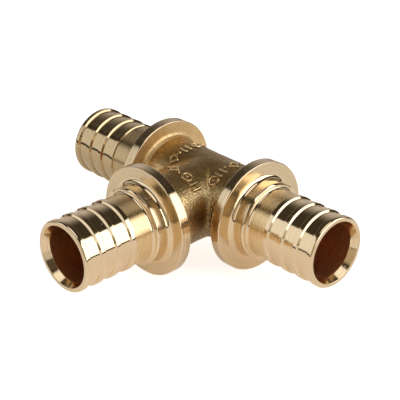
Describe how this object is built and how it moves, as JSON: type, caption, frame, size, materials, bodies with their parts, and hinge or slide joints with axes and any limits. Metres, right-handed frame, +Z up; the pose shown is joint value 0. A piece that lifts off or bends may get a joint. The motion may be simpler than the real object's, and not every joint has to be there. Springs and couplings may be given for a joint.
{
  "type": "pipe tee",
  "caption": "Brass tee for expanded plastic pipe: equal ribbed spigots on a straight run and a side branch, each behind a round flange, with plain bores that meet at the centre.",
  "frame": {"origin": "crossing of the run's axis and the branch's axis", "axes": "+X along the run, -Y along the branch, +Z up from the surface that the three flange rims lie on"},
  "size_m": [0.1018, 0.0728, 0.0334],
  "materials": {
    "brass": "turned bright on the spigots and flanges, as forged and fine-blasted in the middle"
  },
  "bodies": {
    "root": {"tee_body": "brass"}
  },
  "joints": []
}
